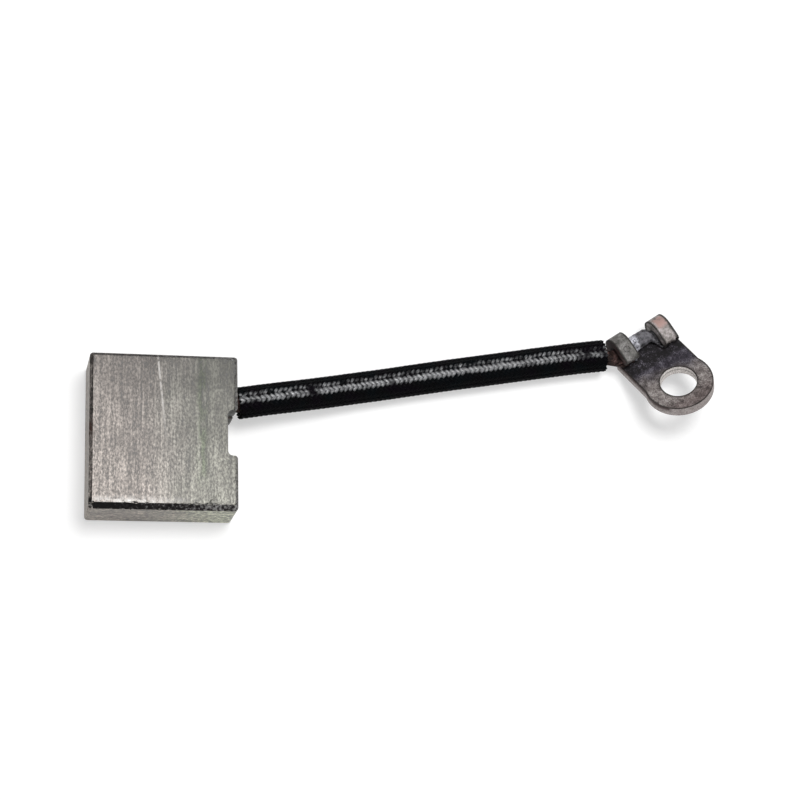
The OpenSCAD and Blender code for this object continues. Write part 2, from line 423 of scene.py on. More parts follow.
def braid(line, sense, material):
    """All the yarns that wind one way: each goes over and under those of the other way."""
    tubes = Tubes()
    rng = random.Random(11 if sense > 0 else 12)
    for carrier in range(CARRIERS):
        start = SLEEVE_START + rng.uniform(-0.05, 0.12) * MM
        end = line.length - rng.uniform(0.0, LOOSE_END) * MM
        width = YARN_W * rng.uniform(0.94, 1.04)
        count = round((end - start) / (CROSSING / RINGS_A_CROSSING))
        lengths = [start + (end - start) * i / count for i in range(count + 1)]
        stations = [yarn_station(line, sense, carrier, width, s) for s in lengths]
        rings, crowns = zip(*stations)
        tubes.sweep(rings, lengths, shade=rng.random(), crowns=crowns)
    return tubes.piece("sleeve_braid_right" if sense > 0 else "sleeve_braid_left", material)


def yarn_station(line, sense, carrier, width, s):
    """The ring of a yarn at distance s along the sleeve, and how high up it lies."""
    point, (along, side, up) = line.at(s)
    # A slow wander keeps the braid from being perfectly even
    wander = noise.noise(Vector((s / WANDER_EVERY, carrier * 3.7, sense * 9)))
    angle = (
        2 * math.pi * carrier / CARRIERS
        + sense * (2 * math.pi * s / BRAID_LAY + WANDER_ANGLE * wander)
    )
    turns = sense * carrier * 2 + s / CROSSING
    lift = sense * math.cos(math.pi * (turns / 2 - 0.25))
    lift = math.copysign(abs(lift) ** 0.7, lift)
    out = spoke(side, up, angle)
    r = (SLEEVE_D / 2 - YARN_T) * flare(s / line.length) + YARN_LIFT * lift + WANDER_OUT * wander
    heading = along + sense * spoke(up, -side, angle) * (2 * math.pi * r / BRAID_LAY)
    across = heading.normalized().cross(out)
    ring = yarn_section(point + r * out, across, out, width, r)
    return ring, out.z + CROWN_DIP * (lift - 1)


def yarn_section(centre, across, out, width, r):
    """A flat yarn of a few plies: ridges on top, flat below."""
    points = []
    steps = 2 * YARN_PLIES
    for i in range(steps + 1):
        w = width * (i / steps - 0.5)
        ridge = 1 if i % 2 else (0.45 if 0 < i < steps else 0.0)
        fall = w * w / (2 * r) + (w / width) ** 2 * 0.25 * YARN_T
        points.append(centre + across * w + out * (ridge * YARN_T / 2 - fall))
    for i in (steps - 1, steps // 2, 1):
        w = width * (i / steps - 0.5)
        points.append(centre + across * w - out * (YARN_T / 2 + w * w / (2 * r)))
    return points


def liner_ring(line, share, r):
    point, (_, side, up) = line.at(
        SLEEVE_START + (line.length - LINER_SHORT - SLEEVE_START) * share
    )
    return [point + r * flare(share) * spoke(side, up, a) for a in angles(LINER_SIDES)]


def sleeve_liner(line, material):
    """The wall of the sleeve under its yarns, open at both ends."""
    points, faces = [], []
    count = round((line.length - SLEEVE_START) / LINER_STEP)
    for r in (SLEEVE_D / 2 - LINER_DEPTH * YARN_T, SLEEVE_BORE / 2):
        for i in range(count + 1):
            points.extend(liner_ring(line, i / count, r))
    inner = (count + 1) * LINER_SIDES
    last = count * LINER_SIDES
    for a in range(0, last, LINER_SIDES):
        b = a + LINER_SIDES
        for j in range(LINER_SIDES):
            k = (j + 1) % LINER_SIDES
            faces.append((a + j, b + j, b + k, a + k))
            faces.append((inner + a + j, inner + a + k, inner + b + k, inner + b + j))
    for j in range(LINER_SIDES):
        k = (j + 1) % LINER_SIDES
        faces.append((j, k, inner + k, inner + j))
        faces.append((last + j, inner + last + j, inner + last + k, last + k))
    return mesh_piece("sleeve_liner", points, faces, material)


# Along the barrel in mm: pale tin with a painted highlight, then dull grey with painted shade
TIN_HIGHLIGHT_FROM = (2.0 * MM, 2.4 * MM)
TIN_HIGHLIGHT_TO = (3.9 * MM, 3.3 * MM)


def barrel_zones(tree):
    """Shares of the strands in the barrel: pale tin with a painted highlight beside the first
    ear, dull grey with painted shade from there.
    """
    along = BARREL_RUN.normalized()
    place = node(tree, "TexCoord").outputs["Object"]
    run = calc(tree, "SUBTRACT", dot(tree, place, along), BARREL_ENTRY.dot(along))
    wavy = product(tree, noisy(tree, millimetres(tree), 1.2), 0.8 * MM)
    grey_shade_share = span(tree, run, *TIN_HIGHLIGHT_FROM)
    tin_highlight_share = product(tree, grey_shade_share, span(tree, calc(tree, "SUBTRACT", run, wavy), *TIN_HIGHLIGHT_TO))
    return tin_highlight_share, grey_shade_share


def copper_material():
    """Copper wires: brown where bare, pale tin with a painted highlight beside the first ear,
    dull grey with painted shade past it.
    """
    material, tree, shader = new_material("copper_wires")
    place = millimetres(tree)
    dull = noisy(tree, place, 1.3, detail=4, roughness=0.65)
    fine = noisy(tree, place, 9, detail=3)
    tarnish = ramp(
        tree, dull,
        (0.38, colour(0.006, 0.003, 0.0025)),
        (0.52, colour(0.045, 0.023, 0.019)),
        (0.68, colour(0.22, 0.135, 0.125)),
    )
    # Dull grey, partly tarnish, partly painted shade
    soil_and_shade = ramp(
        tree, dull,
        (0.38, colour(0.024, 0.022, 0.024)),
        (0.60, colour(0.22, 0.215, 0.235)),
    )
    # Pale tin, brightened into a painted highlight
    tin = ramp(
        tree, noisy(tree, place, 3.2, detail=3),
        (0.36, colour(0.13, 0.13, 0.15)),
        (0.55, colour(0.62, 0.62, 0.68)),
    )
    tin_highlight_share, grey_shade_share = barrel_zones(tree)
    feed(
        tree, shader,
        Base_Color=mix(tree, tin_highlight_share, mix(tree, grey_shade_share, tarnish, soil_and_shade), tin),
        Metallic=0.55,
        Roughness=span(tree, dull, -0.2, 1.1),
        Normal=bump(tree, fine, 0.03 * MM, 0.7),
    )
    return material


WIRES = 28
STRANDS = 4
WIRE_D = 0.30 * MM
WIRE_LAY = 17 * MM
WIRE_SIDES = 7
WIRE_END = 0.35  # how unevenly the wires are cut, in mm
CORE_SIDES = 16
CORE_DEPTH = 1.1 * WIRE_D
STRAND_DEPTH = 0.05 * MM
WITHIN = 0.985  # the part of the way out to the CAD surface that the wires fill
LEAST_R = 0.1 * MM
SHOWN_END = 12.5 * MM
SHOWN_MOUTH = 1.5 * MM
SHOWN_STEP = 0.3 * MM
HIDDEN_STEP = 1.2 * MM
BURIED = 0.05 * MM  # how far they end before the CAD lead does
LEAD_STEP = 0.4 * MM

# The middle of the strands in the barrel, in mm: along it, forward and down
BARREL_MIDDLE = ((0, 0, 0), (1.5, 0.7, 0.1), (4.7, 0.1, 0), (8.0, 1.1, 0.35), (9.6, 1.1, 0.35))


def stud_hole():
    """Centre and axis of the ring's hole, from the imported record."""
    mount = next(m for m in frame["record"]["mounts"] if m["name"] == "stud_hole")
    return Vector(mount["pos_m"]), Vector(mount["axis"]).normalized()


def terminal_axes():
    """Directions along the barrel, back across the tongue and up from it."""
    up = stud_hole()[1]
    along = BARREL_RUN.normalized()
    return along, up.cross(along).normalized(), up


def barrel_line():
    along, back, up = terminal_axes()
    return [
        BARREL_ENTRY + MM * (run * along - forward * back - down * up)
        for run, forward, down in BARREL_MIDDLE
    ]


def lead_envelope():
    """The surface of the CAD lead, which the wires follow into the crimps."""
    mesh = frame["nodes"]["copper_lead"].data
    points = [v.co.copy() for v in mesh.vertices]
    return BVHTree.FromPolygons(points, [tuple(p.vertices) for p in mesh.polygons])


def reach(envelope, centre, direction):
    """How far the envelope is from the centre in that direction."""
    return envelope.ray_cast(centre, direction)[3] or 0.0


def wire_stations(line, hole_s):
    """Where the wires have points: close together where they show, apart where hidden."""
    shown_from = line.length - SHOWN_END
    stations, s = [], 0.0
    while s < line.length - LEAD_STEP:
        stations.append(s)
        near_mouth = abs(s - hole_s) < SHOWN_MOUTH
        s += SHOWN_STEP if s > shown_from or near_mouth else HIDDEN_STEP
    return stations


def wire_ring(line, envelope, k, wire_d, s):
    """The ring of wire k at distance s, just inside the envelope."""
    centre, (along, side, up) = line.at(s)
    strand = 0.5 + 0.5 * math.cos(2 * math.pi * STRANDS * k / WIRES)
    out = spoke(side, up, 2 * math.pi * (k / WIRES + s / WIRE_LAY))
    sideways = along.cross(out)
    r = reach(envelope, centre, out) * WITHIN - wire_d / 2 - STRAND_DEPTH * strand
    middle = centre + max(r, LEAST_R) * out
    return [middle + wire_d / 2 * spoke(out, sideways, a) for a in angles(WIRE_SIDES)]


def core_ring(line, envelope, s):
    """The ring of the core at distance s, one wire deep."""
    centre, (_, side, up) = line.at(s)
    ring = []
    for a in angles(CORE_SIDES):
        out = spoke(side, up, -a)
        ring.append(centre + max(reach(envelope, centre, out) - CORE_DEPTH, LEAST_R) * out)
    return ring


def copper_wires(material):
    """Twisted wires over a core, from the bottom of the block's hole to past the barrel."""
    low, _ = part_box("copper_lead")
    buried = Vector((low.x + BURIED, LEAD_ROUTE[0][1], LEAD_ROUTE[0][2]))
    line = Line([buried, *LEAD_ROUTE, *barrel_line()], LEAD_STEP)
    envelope = lead_envelope()
    stations = wire_stations(line, (Vector(LEAD_ROUTE[0]) - buried).length)
    rng = random.Random(5)
    tubes = Tubes()
    for k in range(WIRES):
        stop = line.length - rng.uniform(0.0, WIRE_END) * MM
        wire_d = WIRE_D * rng.uniform(0.92, 1.06)
        lengths = [*[s for s in stations if s < stop], stop]
        rings = [wire_ring(line, envelope, k, wire_d, s) for s in lengths]
        tubes.sweep(rings, lengths, shade=rng.random())
    tubes.sweep([core_ring(line, envelope, s) for s in stations], stations)
    return tubes.piece("lead_wires", material)


def add_lead():
    """The sleeve and the wires that show at its two ends."""
    line = Line(LEAD_ROUTE, SLEEVE_STEP)
    yarn = sleeve_material()
    liner = sleeve_liner(line, liner_material())
    braids = [braid(line, sense, yarn) for sense in (1, -1)]
    wires = copper_wires(copper_material())
    for piece in (liner, *braids):
        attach(piece, "root")
    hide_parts("lead_sleeve")
    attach(wires, "root")
    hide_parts("copper_lead")


add_lead()

# ---------------------------------------------------------------- terminal

# Where the terminal's looks change, in mm from the middle of its hole: U along the
# barrel, B back across the tongue, W up. Each pair runs from none of it to all of it,
# and the bare copper has a rise and a fall along U and B
RING_GRIME_B = (-1.5, -4.0)
RING_B = (5.4, 1.9)
# Painted shadow on the tongue at the feet of the ears:
FOOT_B = (4.0, 5.2)
EAR_W = (0.9, 1.5)
# Painted light on the end ear:
END_EAR_U = (0.5, 2.0)
# Painted shade behind the ears' bends and at the barrel's free end:
CREST_B = (10.6, 11.0)
FREE_END_U = (3.85, 4.25)
COPPER_U = ((2.3, 2.9), (4.4, 3.8))
COPPER_B = ((7.2, 8.0), (9.9, 9.2))
COPPER_W = (1.5, 2.2)
CUT_W = (1.2, 0.6)
LEAD_SIDE_U = (-3.6, -4.0)
LEAD_SIDE_W = (-0.2, 0.6)
RIM_W = (0.9, 1.4)
HOLE_R = (3.1, 2.9)
FRACTURE = (0.16, 0.03)


def terminal_places(tree):
    """U, B and W of a point in mm, from the middle of the hole."""
    centre = stud_hole()[0]
    place = node(tree, "TexCoord").outputs["Object"]
    return [
        calc(tree, "SUBTRACT", dot(tree, place, axis / MM), centre.dot(axis) / MM)
        for axis in terminal_axes()
    ]


def terminal_material():
    """Tinned copper sheet: dark tarnish on the tongue, worn ring, grey ears, bare copper, painted
    shade and light.
    """
    material, tree, shader = new_material("tarnished_tin")
    u, b, w = terminal_places(tree)
    mm = millimetres(tree)
    mottle = noisy(tree, mm, 1.1, detail=5, roughness=0.62)
    grain = noisy(tree, mm, 5.5, detail=4, roughness=0.65)
    spotted = weighted(tree, mottle, 0.5, grain)
    base = zone_colours(tree, u, b, w, spotted, weighted(tree, mottle, 0.78, grain))
    base = ear_shade(tree, base, u, b, w, spotted)
    base = bare_copper(tree, base, u, b, w, mottle)
    from_hole = calc(tree, "ADD", product(tree, u, u), product(tree, b, b))
    base = cut_faces(tree, base, u, w, calc(tree, "SQRT", from_hole), grain)
    base = shaded_rims(tree, base, w, grain)
    rounded = node(tree, "Bevel", {"Radius": 0.20 * MM}, samples=6).outputs[0]
    relief = bump(tree, mottle, 0.05 * MM, 0.7, rounded)
    relief = bump(tree, grain, 0.03 * MM, 0.8, relief)
    feed(
        tree, shader,
        Base_Color=base,
        Metallic=0.35,
        Roughness=span(tree, mottle, -0.6, 1.15),
        Normal=relief,
    )
    return material


def zone_colours(tree, u, b, w, spotted, blotch):
    """Tarnish: violet-black tongue, beige ring, grey ears; painted shadow at the ears' feet,
    painted light on the end ear.
    """
    violet = ramp(
        tree, spotted,
        (0.40, colour(0.012, 0.010, 0.014)),
        (0.50, colour(0.040, 0.034, 0.048)),
        (0.61, colour(0.145, 0.135, 0.160)),
    )
    beige = ramp(
        tree, spotted,
        (0.39, colour(0.070, 0.058, 0.056)),
        (0.50, colour(0.205, 0.178, 0.170)),
        (0.61, colour(0.45, 0.415, 0.40)),
    )
    light = ramp(
        tree, blotch,
        (0.39, colour(0.062, 0.060, 0.055)),
        (0.50, colour(0.150, 0.144, 0.136)),
        (0.61, colour(0.300, 0.290, 0.285)),
    )
    cloud = noisy(tree, millimetres(tree), 0.45)
    wavy = calc(tree, "ADD", b, product(tree, cloud, 3.0))
    wavy = calc(tree, "ADD", wavy, product(tree, u, 0.28))
    grime = span(tree, b, *RING_GRIME_B)
    beige = mix(tree, grime, beige, colour(0.66, 0.60, 0.60), "MULTIPLY")
    base = mix(tree, span(tree, wavy, *RING_B), violet, beige)
    # Painted shadow: black on the tongue where the ears' free ends stand over it
    foot_shadow = product(tree, span(tree, b, *FOOT_B), span(tree, spotted, 0.62, 0.50), 0.85)
    base = mix(tree, foot_shadow, base, colour(0.006, 0.005, 0.005))
    ear = span(tree, w, *EAR_W)
    base = mix(tree, ear, base, light)
    # Painted light: the end ear is a paler copy of the ear colour
    end_ear_light = mix(tree, 1.0, base, colour(1.9, 1.80, 1.82), "MULTIPLY")
    return mix(tree, product(tree, ear, span(tree, u, *END_EAR_U)), base, end_ear_light)


def ear_shade(tree, base, u, b, w, spotted):
    """Black painted shade on the far side of each ear's bend and at the free end of the barrel.
    """
    crest = calc(tree, "MULTIPLY_ADD", spotted, 0.8, b)
    crest = calc(tree, "MULTIPLY_ADD", u, 0.083, crest)
    shaded_share = calc(tree, "MAXIMUM", span(tree, crest, *CREST_B), span(tree, u, *FREE_END_U))
    shaded_share = product(tree, shaded_share, span(tree, w, *EAR_W), 0.85)
    return mix(tree, shaded_share, base, colour(0.014, 0.012, 0.009))


def bare_copper(tree, base, u, b, w, mottle):
    """Copper that shows where the tin has worn off the end ear's crest."""
    over_u = between(tree, u, *COPPER_U)
    over_b = between(tree, b, *COPPER_B)
    over_w = span(tree, w, *COPPER_W)
    share = product(tree, over_u, over_b, over_w, span(tree, mottle, 0.30, 0.55))
    return mix(tree, share, base, colour(0.46, 0.305, 0.275))


def cut_faces(tree, base, u, w, from_hole, grain):
    """Sheared sides of the sheet: pale, brightest in the hole, with a dark fracture line
    there, and brown at the lead."""
    normal = node(tree, "NewGeometry").outputs["True Normal"]
    along, _, up = terminal_axes()
    side = span(tree, calc(tree, "ABSOLUTE", dot(tree, normal, up)), 0.35, 0.15)
    side = product(tree, side, span(tree, w, *CUT_W))
    speckle = span(tree, grain, 0.35, 0.65)
    pale = mix(tree, speckle, colour(0.28, 0.245, 0.235), colour(0.54, 0.485, 0.47))
    base = mix(tree, side, base, pale)
    in_hole = span(tree, from_hole, *HOLE_R)
    brighter = mix(tree, 1.0, base, colour(1.75, 1.85, 1.85), "MULTIPLY")
    base = mix(tree, product(tree, in_hole, side), base, brighter)
    off = calc(tree, "ABSOLUTE", calc(tree, "SUBTRACT", w, product(tree, grain, 0.25)))
    fracture = product(tree, span(tree, off, *FRACTURE), side, in_hole, 0.6)
    base = mix(tree, fracture, base, colour(0.08, 0.075, 0.06))
    facing = span(tree, dot(tree, normal, along), -0.6, -0.85)
    at_lead = product(tree, facing, span(tree, w, *LEAD_SIDE_W), span(tree, u, *LEAD_SIDE_U))
    brown = mix(tree, grain, colour(0.012, 0.007, 0.006), colour(0.13, 0.085, 0.08))
    return mix(tree, at_lead, base, brown)


def shaded_rims(tree, base, w, grain):
    """Painted shade along the edges of the broad faces; the sheared sides stay pale."""
    rounded = node(tree, "Bevel", {"Radius": 0.60 * MM}, samples=8).outputs[0]
    normal = node(tree, "NewGeometry").outputs["Normal"]
    agree = dot(tree, rounded, normal)
    broad = calc(tree, "ABSOLUTE", dot(tree, normal, terminal_axes()[2]))
    broad = calc(tree, "MAXIMUM", span(tree, broad, 0.3, 0.5), span(tree, w, *RIM_W))
    rim = product(tree, span(tree, agree, 0.998, 0.95), span(tree, grain, 0.26, 0.44), broad, 0.9)
    return mix(tree, rim, base, colour(0.018, 0.015, 0.012))


def dress_node(name, material):
    """Gives a CAD node that stays a better material."""
    for slot in frame["nodes"][name].material_slots:
        slot.material = material


dress_node("ring_terminal", terminal_material())


def plug_material():
    """Tamped copper powder: rough brown grains."""
    material, tree, shader = new_material("tamped_copper")
    grain = noisy(tree, millimetres(tree), 7, detail=3, roughness=0.7)
    tint = ramp(
        tree, grain,
        (0.35, colour(0.010, 0.006, 0.005)),
        (0.52, colour(0.045, 0.025, 0.018)),
        (0.70, colour(0.16, 0.095, 0.07)),
    )
    feed(
        tree, shader,
        Base_Color=tint,
        Metallic=0.5,
        Roughness=0.65,
        Normal=bump(tree, grain, 0.08 * MM),
    )
    return material


dress_node("tamping_plug", plug_material())

# ---------------------------------------------------------------- block

# Marks on the block in mm, each pair from none of it to all of it. The last ones are
# measured inwards from the block's front, its contact face and its top
WARMTH = (0, 12)
# Painted light on the front face, rising towards the lead end:
LIT_FRONT_X = (-2, 8)
BAND_X = 5.1
BAND_HALF = (1.1, 0.1)
BAND_Y = (-8.5, -4.5)
SCRATCH_X = -0.9
SCRATCH_Y = 10.5
SCRATCH_LEAN = 0.10
SCRATCH_HALF = (0.21, 0.04)
SCRATCH_LENGTH_Y = (-3.0, 6.0)
# Painted highlight along the front of the top, towards the contact end:
FRONT_HIGHLIGHT_X = (5.0, -3.0)
RUST_HALF_Y = (1.9, 0.5)
# Painted shadow on the notch's far wall:
NOTCH_SHADOW_X = (8.2, 8.7)
NOTCH_SHADOW_Y = (1.0, 1.8)
# Depth of the painted highlight from the front edge:
FRONT_HIGHLIGHT_DEPTH = (1.9, 0.9)
FRONT_DEPTH = (2, 1.2)
RUST_DEPTH = (0.9, 0.2)
RUST_DOWN = (1.6, 0.4)


def inwards(tree, value, side, pair):
    """Share by the distance from a side of the block; pair is (none, all) in mm."""
    none, full = pair
    return span(tree, value, side + none, side + full)


def graphite_material():
    """Ground copper-graphite: streaked grain, dark broken edges, a scratch, a dark band, painted
    light and shade over the faces.
    """
    material, tree, shader = new_material("ground_graphite")
    normal = node(tree, "NewGeometry").outputs["True Normal"]
    x, y, z = node(tree, "SeparateXYZ", {"Vector": millimetres(tree)}).outputs
    flat = calc(tree, "ABSOLUTE", dot(tree, normal, (0, 0, 1)))
    on_top = span(tree, flat, 0.4, 0.6)
    tone, relief = graphite_grain(tree, on_top)
    base = ramp(
        tree, tone,
        (0.41, colour(0.050, 0.047, 0.043)),
        (0.47, colour(0.190, 0.179, 0.165)),
        (0.53, colour(0.375, 0.355, 0.330)),
        (0.60, colour(0.720, 0.690, 0.645)),
    )
    base = mix(tree, 1.0, base, graphite_tints(tree, x, y, on_top, normal), "MULTIPLY")
    base = dark_band(tree, base, x, y, on_top)
    base = scratch(tree, base, x, y, on_top)
    edge = between(tree, flat, (0.12, 0.4), (0.97, 0.86))
    base = broken_edges(tree, base, edge, x, y)
    base = rust_and_notch_shadow(tree, base, normal, x, y, z)
    feed(
        tree, shader,
        Base_Color=base,
        Metallic=calc(tree, "MULTIPLY_ADD", edge, -0.2, 0.2),
        Specular_IOR_Level=calc(tree, "MULTIPLY_ADD", edge, -0.4, 0.5),
        Roughness=span(tree, tone, 0.1, 0.85),
        Normal=relief,
    )
    return material


def graphite_grain(tree, on_top):
    """Flecks and grinding lines, along Y on the broad faces and level on the sides."""
    flecks_top = noisy(tree, millimetres(tree, (1, 0.5, 1)), 4.6, detail=4, roughness=0.7)
    lines_top = noisy(tree, millimetres(tree, (1, 0.045, 1)), 3.2, detail=3, roughness=0.6)
    flecks_side = noisy(tree, millimetres(tree, (0.45, 0.45, 1)), 4.4, detail=4, roughness=0.68)
    lines_side = noisy(tree, millimetres(tree, (0.06, 0.06, 1)), 3.0, detail=3, roughness=0.6)
    flecks = mix(tree, on_top, flecks_side, flecks_top)
    lines = mix(tree, on_top, lines_side, lines_top)
    tone = weighted(tree, flecks, 0.66, lines)
    grit = noisy(tree, millimetres(tree), 9, detail=3, roughness=0.7)
    relief = bump(tree, tone, 0.06 * MM, 0.8)
    return tone, bump(tree, grit, 0.02 * MM, 0.7, relief)


def graphite_tints(tree, x, y, on_top, normal):
    """Slow changes over a face: warmer at the contact end; painted shade that darkens the top
    towards its back and its lead end, and painted light that brightens the front face towards the
    lead end."""
    cloud = noisy(tree, millimetres(tree, (1, 0.5, 1)), 0.22)
    warmth = calc(tree, "SUBTRACT", product(tree, cloud, 14), x)
    tint = ramp(
        tree, span(tree, warmth, *WARMTH),
        (0.0, colour(0.97, 1.0, 0.95)),
        (0.5, colour(1.0, 0.985, 0.965)),
        (1.0, colour(1.03, 0.975, 0.965)),
    )
    falloff_noise = noisy(tree, millimetres(tree), 0.33, detail=3, roughness=0.6)
    lean = calc(tree, "ADD", product(tree, y, 0.036), product(tree, x, 0.016))
    lean = calc(tree, "ADD", lean, calc(tree, "MULTIPLY_ADD", falloff_noise, 0.5, 0.22))
    # Painted shade: the top darkens towards its back and its lead end
    shade = ramp(tree, lean, (0.0, grey(1.12)), (0.45, grey(0.80)), (0.95, grey(0.32)))
    in_front = span(tree, dot(tree, normal, (0, 1, 0)), -0.5, -0.9)
    # Painted light: the front face brightens towards the lead end
    lit_to_lead_end = product(tree, span(tree, x, *LIT_FRONT_X), in_front)
    level = ramp(tree, lit_to_lead_end, (0, colour(1.0, 1.0, 0.97)), (1, colour(1.62, 1.68, 1.52)))
    return mix(tree, 1.0, tint, mix(tree, on_top, level, shade), "MULTIPLY")


def dark_band(tree, base, x, y, on_top):
    """A darker, greener streak across the width near the lead end."""
    off = calc(tree, "ABSOLUTE", calc(tree, "SUBTRACT", x, BAND_X))
    wave = noisy(tree, millimetres(tree, (1, 0.2, 1)), 1.3, detail=4)
    share = product(
        tree, span(tree, off, *BAND_HALF), span(tree, wave, 0.38, 0.58),
        span(tree, y, *BAND_Y), on_top, 0.8,
    )
    return mix(tree, share, base, colour(0.56, 0.66, 0.52), "MULTIPLY")


def scratch(tree, base, x, y, on_top):
    """A pale scratch from the back edge to past the middle, and a painted highlight along the
    front of the top.
    """
    bend = product(tree, calc(tree, "SUBTRACT", SCRATCH_Y, y), SCRATCH_LEAN)
    off = calc(tree, "SUBTRACT", calc(tree, "ADD", x, -SCRATCH_X), bend)
    off = calc(tree, "ABSOLUTE", off)
    ragged = noisy(tree, millimetres(tree), 2.2, detail=3)
    line = product(
        tree, span(tree, off, *SCRATCH_HALF), span(tree, y, *SCRATCH_LENGTH_Y),
        span(tree, ragged, 0.32, 0.52), 0.5,
    )
    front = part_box("carbon_block")[0].y / MM
    # Painted highlight: pale along the front edge of the top, towards the contact end
    front_highlight = product(
        tree, inwards(tree, y, front, FRONT_HIGHLIGHT_DEPTH), span(tree, x, *FRONT_HIGHLIGHT_X),
        span(tree, ragged, 0.36, 0.56), 0.75,
    )
    share = product(tree, calc(tree, "MAXIMUM", line, front_highlight), on_top)
    return mix(tree, share, base, colour(0.74, 0.71, 0.68))


def grime_and_shade_noise(tree):
    return noisy(tree, millimetres(tree), 2.8, detail=4, roughness=0.7)


def broken_edges(tree, base, edge, x, y):
    """Bevels and chips are dark with grime and painted shade: all along the front, in patches
    elsewhere.
    """
    # Grime and painted shade on the bevels and chips
    grime_and_shade = ramp(
        tree, calc(tree, "MULTIPLY_ADD", x, 0.013, grime_and_shade_noise(tree)),
        (0.45, colour(0.007, 0.006, 0.006)),
        (0.56, colour(0.026, 0.022, 0.024)),
        (0.65, colour(0.24, 0.235, 0.23)),
    )
    in_front = inwards(tree, y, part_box("carbon_block")[0].y / MM, FRONT_DEPTH)
    worn = noisy(tree, millimetres(tree), 1.4, detail=4, roughness=0.7)
    worn = product(tree, span(tree, worn, 0.72, 0.50), 0.72)
    edge = product(tree, edge, calc(tree, "MAXIMUM", in_front, worn))
    return mix(tree, edge, base, grime_and_shade)


def rust_and_notch_shadow(tree, base, normal, x, y, z):
    """A rusty mark in the middle of the contact face's top edge, and painted shadow on the far
    wall of the notch.
    """
    low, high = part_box("carbon_block")
    rust = product(
        tree, inwards(tree, x, low.x / MM, RUST_DEPTH),
        span(tree, calc(tree, "ABSOLUTE", y), *RUST_HALF_Y),
        span(tree, z, high.z / MM - RUST_DOWN[0], high.z / MM - RUST_DOWN[1]),
        span(tree, grime_and_shade_noise(tree), 0.38, 0.58),
    )
    base = mix(tree, rust, base, colour(0.040, 0.020, 0.014))
    facing = span(tree, dot(tree, normal, (0, 1, 0)), -0.15, -0.5)
    # Painted shadow: near black on the notch's far wall
    notch_shadow = product(tree, facing, span(tree, x, *NOTCH_SHADOW_X), span(tree, y, *NOTCH_SHADOW_Y), 0.95)
    return mix(tree, notch_shadow, base, colour(0.006, 0.005, 0.004))


WELD = 0.001 * MM
EDGE_WIDTH = 0.05 * MM
ROUNDED_ABOVE = math.radians(30)
SHARP_ABOVE = math.radians(24)
FRONT_BEVEL = 0.75 * MM
CHIP_INSET = 0.3 * MM
INNER_SHARE = 0.6

# Broken corners of the top face: (at the lead end, at the back, size in mm)
BROKEN_CORNERS = ((False, False, 1.0), (False, True, 0.55), (True, False, 0.4))


def clean_copy(name):
    """A welded copy of a CAD node's mesh with its flat faces whole, as a bmesh."""
    bm = bmesh.new()
    bm.from_mesh(frame["nodes"][name].data)
    bmesh.ops.remove_doubles(bm, verts=bm.verts, dist=WELD)
    bmesh.ops.dissolve_limit(bm, angle_limit=math.radians(1), verts=bm.verts, edges=bm.edges)
    return bm


def soften(bm):
    """Rounds every edge that bends more than a little."""
    edges = [e for e in bm.edges if e.is_manifold and e.calc_face_angle(0) > ROUNDED_ABOVE]
    bmesh.ops.bevel(
        bm, geom=edges, offset=EDGE_WIDTH, segments=2, profile=0.5,
        affect="EDGES", clamp_overlap=True,
    )


def chip_places(rng):
    """Where the edges are chipped: (place, size). Most are along the front edge."""
    low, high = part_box("carbon_block")
    places = []
    for _ in range(30):
        x = rng.uniform(low.x, high.x)
        inner = rng.random() < INNER_SHARE
        y = low.y + (FRONT_BEVEL if inner else 0.0)
        z = high.z - (0.0 if inner else FRONT_BEVEL)
        places.append((Vector((x, y, z)), rng.uniform(0.08, 0.26) * MM))
    for _ in range(12):
        x = rng.uniform(low.x, high.x)
        places.append((Vector((x, high.y - CHIP_INSET, high.z)), rng.uniform(0.05, 0.15) * MM))
    for _ in range(20):
        y = rng.uniform(low.y, high.y)
        x = low.x + CHIP_INSET if rng.random() < INNER_SHARE else high.x - CHIP_INSET
        places.append((Vector((x, y, high.z)), rng.uniform(0.05, 0.16) * MM))
    for lead_end, at_back, size in BROKEN_CORNERS:
        corner = Vector((high.x if lead_end else low.x, high.y if at_back else low.y, high.z))
        places.append((corner, size * MM))
    return places


def chip_cutter(places, rng):
    """One mesh of ragged lumps, to be cut out of the block's edges."""
    bm = bmesh.new()
    for place, size in places:
        lump = bmesh.ops.create_icosphere(bm, subdivisions=2, radius=1.0)["verts"]
        stretch = Vector((rng.uniform(0.8, 2.2), rng.uniform(0.7, 1.1), rng.uniform(0.6, 1.0)))
        seed = Vector((rng.uniform(0, 50), rng.uniform(0, 50), 0))
        for v in lump:
            ragged = 1 + 0.45 * noise.noise(v.co * 1.4 + seed)
            v.co = place + Vector(a * b for a, b in zip(v.co, stretch)) * size * ragged
    mesh = bpy.data.meshes.new("chips")
    bm.to_mesh(mesh)
    bm.free()
    return link(bpy.data.objects.new("chips", mesh))


def mend(mesh):
    """Welds the slivers that cutting leaves behind, and leaves triangles."""
    bm = bmesh.new()
    bm.from_mesh(mesh)
    bmesh.ops.remove_doubles(bm, verts=bm.verts, dist=WELD)
    for _ in range(2):
        bmesh.ops.dissolve_degenerate(bm, dist=WELD / 2, edges=bm.edges)
        bmesh.ops.triangulate(bm, faces=bm.faces)
    bm.to_mesh(mesh)
    bm.free()


def cut_chips(block, rng):
    """Cuts the chips out of the block, and applies the cut."""
    cutter = chip_cutter(chip_places(rng), rng)
    cut = block.modifiers.new("chips", "BOOLEAN")
    cut.object = cutter
    cut.operation = "DIFFERENCE"
    cut.solver = "EXACT"
    cut.use_self = True
    done = block.evaluated_get(bpy.context.evaluated_depsgraph_get())
    block.data = bpy.data.meshes.new_from_object(done)
    block.modifiers.clear()
    bpy.data.objects.remove(cutter)


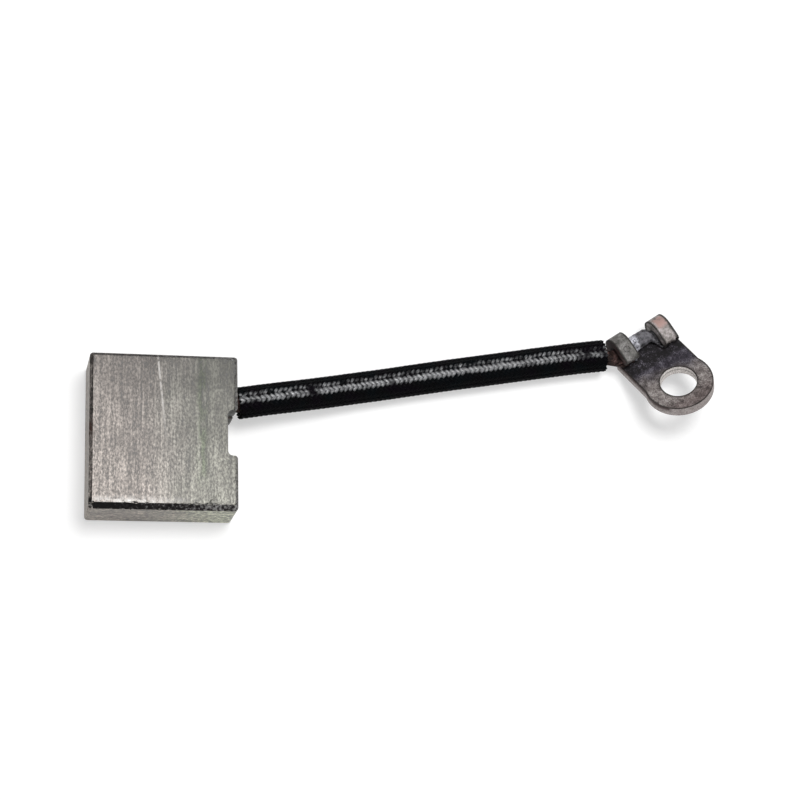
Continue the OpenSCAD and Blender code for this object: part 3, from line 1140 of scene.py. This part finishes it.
def graphite_block():
    """The block with softened edges, and its chips cut out as real hollows."""
    bm = clean_copy("carbon_block")
    soften(bm)
    mesh = bpy.data.meshes.new("graphite_block")
    bm.to_mesh(mesh)
    bm.free()
    block = link(bpy.data.objects.new("graphite_block", mesh))
    cut_chips(block, random.Random(3))
    mend(block.data)
    block.data.shade_smooth()
    block.data.set_sharp_from_angle(angle=SHARP_ABOVE)
    flat = block.modifiers.new("flat", "WEIGHTED_NORMAL")
    flat.weight = 100
    flat.keep_sharp = True
    block.data.materials.clear()
    block.data.materials.append(graphite_material())
    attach(block, "root")
    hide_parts("carbon_block")


graphite_block()

# ---------------------------------------------------------------- studio

FLOOR_HALF = 2.5
FLOOR_GREY = 0.55
FLOOR_GLOW = 0.52


def floor_material():
    """A pale floor that looks white where nothing shades it."""
    material, tree, shader = new_material("pale_floor")
    tree.nodes.remove(shader)
    path = node(tree, "LightPath").outputs
    seen = calc(tree, "MAXIMUM", path["Is Camera Ray"], path["Is Glossy Ray"])
    seen = calc(tree, "MAXIMUM", seen, path["Is Transmission Ray"])
    diffuse = node(tree, "BsdfDiffuse", {"Color": grey(FLOOR_GREY)}).outputs[0]
    glow = node(tree, "Emission", {"Strength": product(tree, seen, FLOOR_GLOW)}).outputs[0]
    both = node(tree, "AddShader", {0: diffuse, 1: glow}).outputs[0]
    tree.links.new(both, tree.nodes["Material Output"].inputs["Surface"])
    return material


def add_floor():
    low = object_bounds()[0].z
    turns = ((-1, -1), (1, -1), (1, 1), (-1, 1))
    corners = [(x * FLOOR_HALF, y * FLOOR_HALF, low) for x, y in turns]
    floor = mesh_piece("floor", corners, [(0, 1, 2, 3)], floor_material(), smooth=False)


def add_lamp(name, place, size, watts):
    """A square soft box that faces the point that the camera aims at."""
    data = bpy.data.lights.new(name, "AREA")
    data.shape = "SQUARE"
    data.size = size
    data.energy = watts
    lamp = link(bpy.data.objects.new(name, data))
    lamp.location = CAMERA_AIM + Vector(place)
    lamp.rotation_euler = (-Vector(place)).to_track_quat("-Z", "Y").to_euler()


def add_world():
    """Pale at the horizon, dim above it, so that edges and wires keep their contrast."""
    world = bpy.data.worlds.new("studio")
    bpy.context.scene.world = world
    world.use_nodes = True
    tree = world.node_tree
    direction = node(tree, "TexCoord").outputs["Generated"]
    height = node(tree, "SeparateXYZ", {"Vector": direction}).outputs["Z"]
    shade = ramp(
        tree, height,
        (0.0, grey(0.85)),
        (0.06, grey(0.80)),
        (0.22, grey(0.14)),
        (1.0, grey(0.12)),
    )
    tree.links.new(shade, tree.nodes["Background"].inputs["Color"])


add_floor()
add_lamp("key", (0.05, 0.09, 0.48), 0.22, 2.2)
add_lamp("fill", (-0.30, -0.35, 0.30), 0.40, 0.5)
add_world()
bpy.context.scene.view_settings.view_transform = "Standard"
